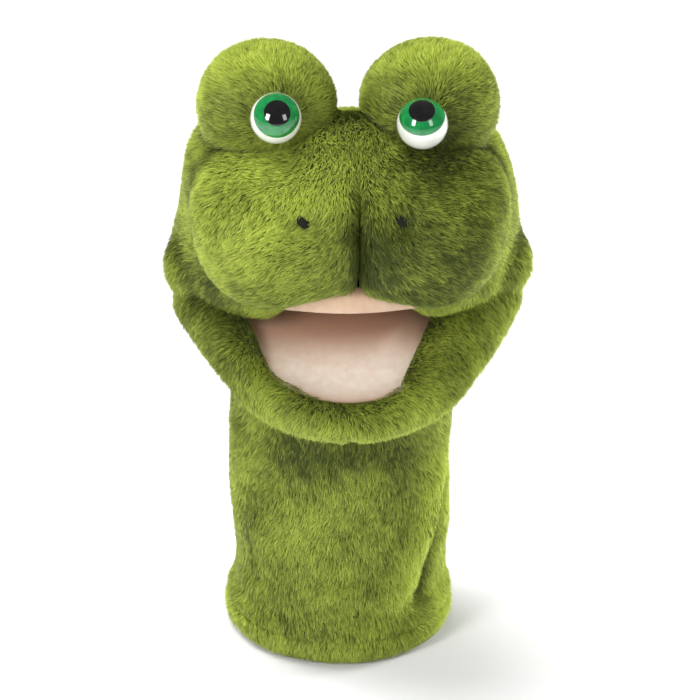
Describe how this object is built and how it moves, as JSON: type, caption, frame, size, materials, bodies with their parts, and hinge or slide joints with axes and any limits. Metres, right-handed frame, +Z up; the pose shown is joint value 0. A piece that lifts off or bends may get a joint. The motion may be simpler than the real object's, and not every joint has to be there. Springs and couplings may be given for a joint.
{
  "type": "hand puppet",
  "caption": "Plush frog hand puppet with a wide opening mouth, stuffed muzzle and eye mounds, glossy eyes, and a sleeve for the hand and forearm.",
  "frame": {"origin": "centre of the hand opening, in the plane of the hem", "axes": "+Z up along the sleeve, -Y the way the face looks, +X to the viewer's right when facing the face"},
  "size_m": [0.182, 0.1635, 0.33],
  "materials": {
    "green_plush": "long-pile plush",
    "polyester_filling": "loose fibre filling",
    "mouth_lining": "brushed knit",
    "stiffener_board": "plain board",
    "pocket_cloth": "plain woven",
    "eye_white": "moulded, glossy",
    "eye_green": "printed under gloss",
    "eye_black": "printed under gloss",
    "washer_plastic": "moulded",
    "dark_thread": "twisted thread"
  },
  "bodies": {
    "sleeve": {"sleeve_front": "green_plush", "sleeve_back": "green_plush", "sleeve_hem": "green_plush"},
    "neck": {"neck_front": "green_plush", "neck_back": "green_plush"},
    "head": {"head_back": "green_plush", "cheek_left": "green_plush", "cheek_right": "green_plush", "muzzle_left": "green_plush", "muzzle_right": "green_plush", "eye_mound_left": "green_plush", "eye_mound_right": "green_plush", "muzzle_stuffing_left": "polyester_filling", "muzzle_stuffing_right": "polyester_filling", "eye_mound_stuffing_left": "polyester_filling", "eye_mound_stuffing_right": "polyester_filling", "upper_mouth_lining": "mouth_lining", "upper_mouth_board": "stiffener_board", "finger_pocket": "pocket_cloth", "eyeball_left": "eye_white", "iris_left": "eye_green", "pupil_left": "eye_black", "eye_washer_left": "washer_plastic", "nostril_stitch_left": "dark_thread", "eyeball_right": "eye_white", "iris_right": "eye_green", "pupil_right": "eye_black", "eye_washer_right": "washer_plastic", "nostril_stitch_right": "dark_thread"},
    "lower_jaw": {"lower_jaw_left": "green_plush", "lower_jaw_right": "green_plush", "chin_panel": "green_plush", "lower_jaw_stuffing_left": "polyester_filling", "lower_jaw_stuffing_right": "polyester_filling", "lower_mouth_lining": "mouth_lining", "lower_mouth_board": "stiffener_board", "thumb_pocket": "pocket_cloth"}
  },
  "joints": [
    {"name": "head_turn", "type": "hinge", "parent": "sleeve", "child": "neck", "pos_m": [0, 0, 0.112], "axis": [0, 0, 1], "range_deg": [-30, 30]},
    {"name": "head_nod", "type": "hinge", "parent": "neck", "child": "head", "pos_m": [0, 0, 0.16], "axis": [1, 0, 0], "range_deg": [-15, 12]},
    {"name": "mouth", "type": "hinge", "parent": "head", "child": "lower_jaw", "pos_m": [0, -0.025, 0.188], "axis": [1, 0, 0], "range_deg": [-34, 6]}
  ]
}
